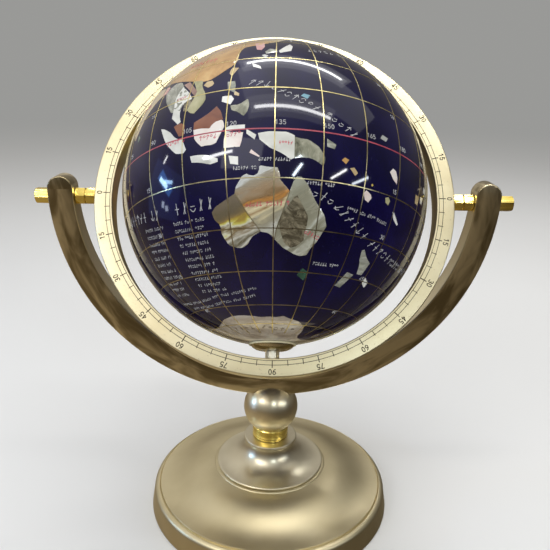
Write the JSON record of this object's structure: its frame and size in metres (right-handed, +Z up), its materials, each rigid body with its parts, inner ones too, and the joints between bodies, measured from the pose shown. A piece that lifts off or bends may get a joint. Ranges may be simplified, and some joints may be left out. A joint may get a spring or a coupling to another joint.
{
  "type": "gemstone globe",
  "caption": "Desk globe of inlaid stone in a full meridian ring, which swivels in a C-shaped arm on a ball, bell pedestal and round stepped base.",
  "frame": {"origin": "centre of the base's underside", "axes": "+Z up; -Y to the front, towards which the ring's lower edge leans; +X to the right along the ring's pivots"},
  "size_m": [0.2438, 0.1525, 0.259],
  "materials": {
    "inlaid_stone": "polished navy stone composite with inlaid stone and shell and fine gilt wires, under clear gloss",
    "satin_nickel": "satin champagne nickel plate",
    "pale_gold": "satin pale gold plate, engraved and blackened scale",
    "polished_brass": "polished yellow brass"
  },
  "bodies": {
    "stand": {"base": "satin_nickel", "pedestal": "satin_nickel", "neck_collar": "polished_brass", "neck_ball": "satin_nickel", "cradle_arm": "satin_nickel"},
    "ring": {"meridian_ring": "pale_gold", "pivot_screw_left": "polished_brass", "pivot_screw_right": "polished_brass", "pivot_spacer_left": "polished_brass", "pivot_spacer_right": "polished_brass", "polar_pin_south": "pale_gold", "polar_pin_north": "pale_gold"},
    "ball": {"globe_ball": "inlaid_stone", "polar_cap_south": "satin_nickel", "polar_cap_north": "satin_nickel"}
  },
  "joints": [
    {"name": "ring_tilt", "type": "hinge", "parent": "stand", "child": "ring", "pos_m": [0, 0, 0.18], "axis": [1, 0, 0], "continuous": true},
    {"name": "ball_spin", "type": "hinge", "parent": "ring", "child": "ball", "pos_m": [0, 0, 0.18], "axis": [0, 0.5417, 0.8406], "continuous": true}
  ]
}
